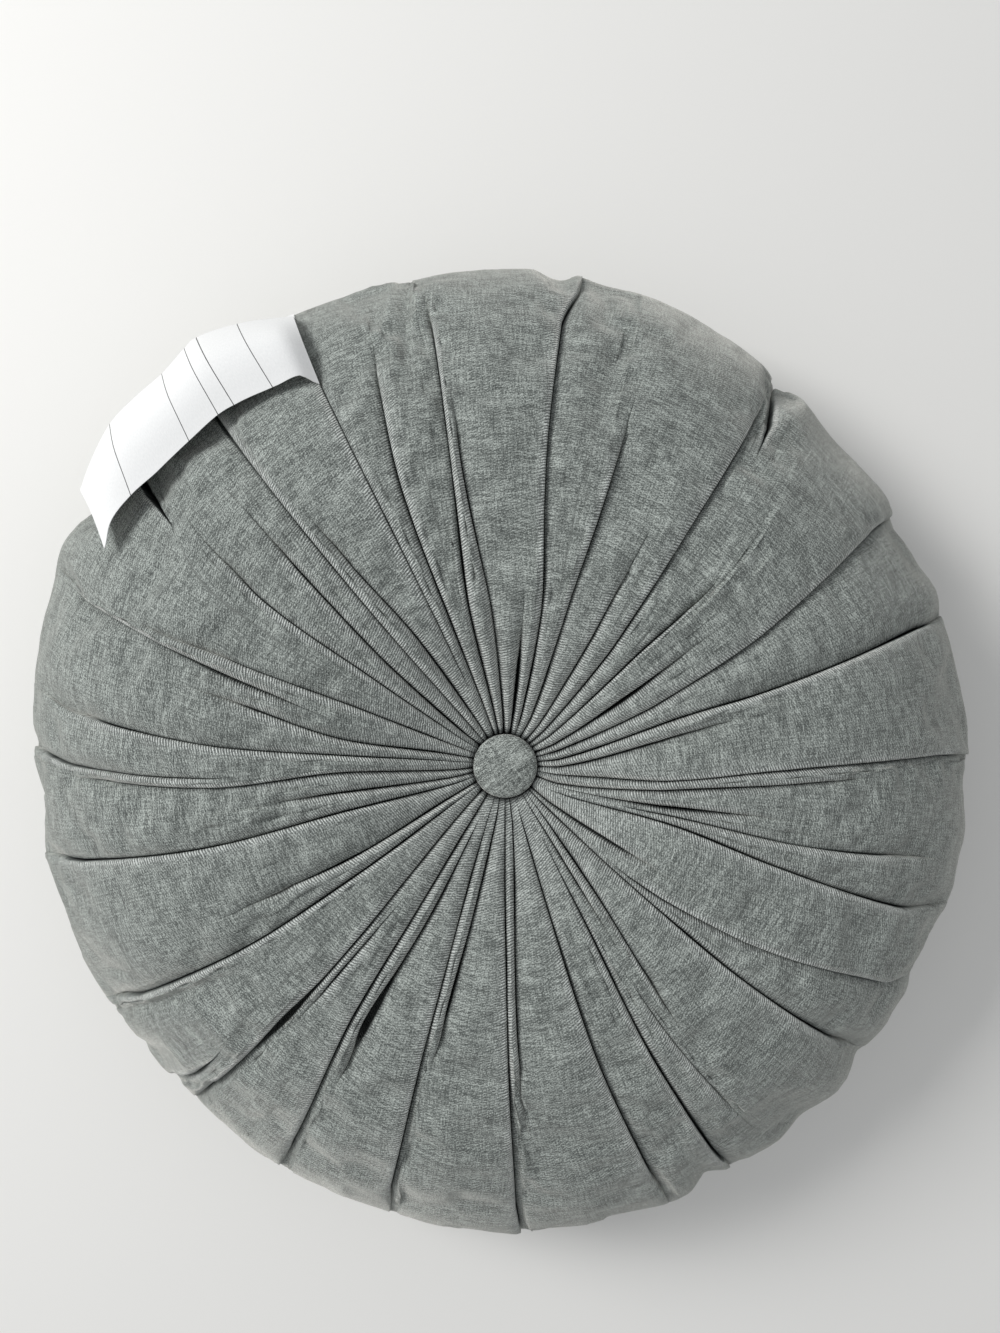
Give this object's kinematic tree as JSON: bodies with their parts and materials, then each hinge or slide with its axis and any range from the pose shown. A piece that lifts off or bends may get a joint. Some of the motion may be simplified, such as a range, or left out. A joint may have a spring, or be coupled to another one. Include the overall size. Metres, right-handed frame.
{
  "type": "tufted round cushion",
  "caption": "Round filled cushion with a pleated cloth cover, drawn in at its middle by covered buttons, with a plain label sewn in its side seam.",
  "frame": {"origin": "under the middle of the cushion, on the surface that it lies on", "axes": "+Z out of the front face, through the button; +Y to the edge of the face that was uppermost in the picture; +X to the right of the face"},
  "size_m": [0.3998, 0.4123, 0.105],
  "materials": {
    "cover_cloth": "soft brushed cloth, mottled sage grey, with fine ribs across the pleats",
    "button_cloth": "the cover's own cloth stretched over a domed button",
    "label_cloth": "thin stiff white bonded cloth with fine ruled lines"
  },
  "bodies": {
    "root": {"pleated_cover": "cover_cloth", "front_button": "button_cloth", "back_button": "button_cloth", "label": "label_cloth"}
  },
  "joints": []
}
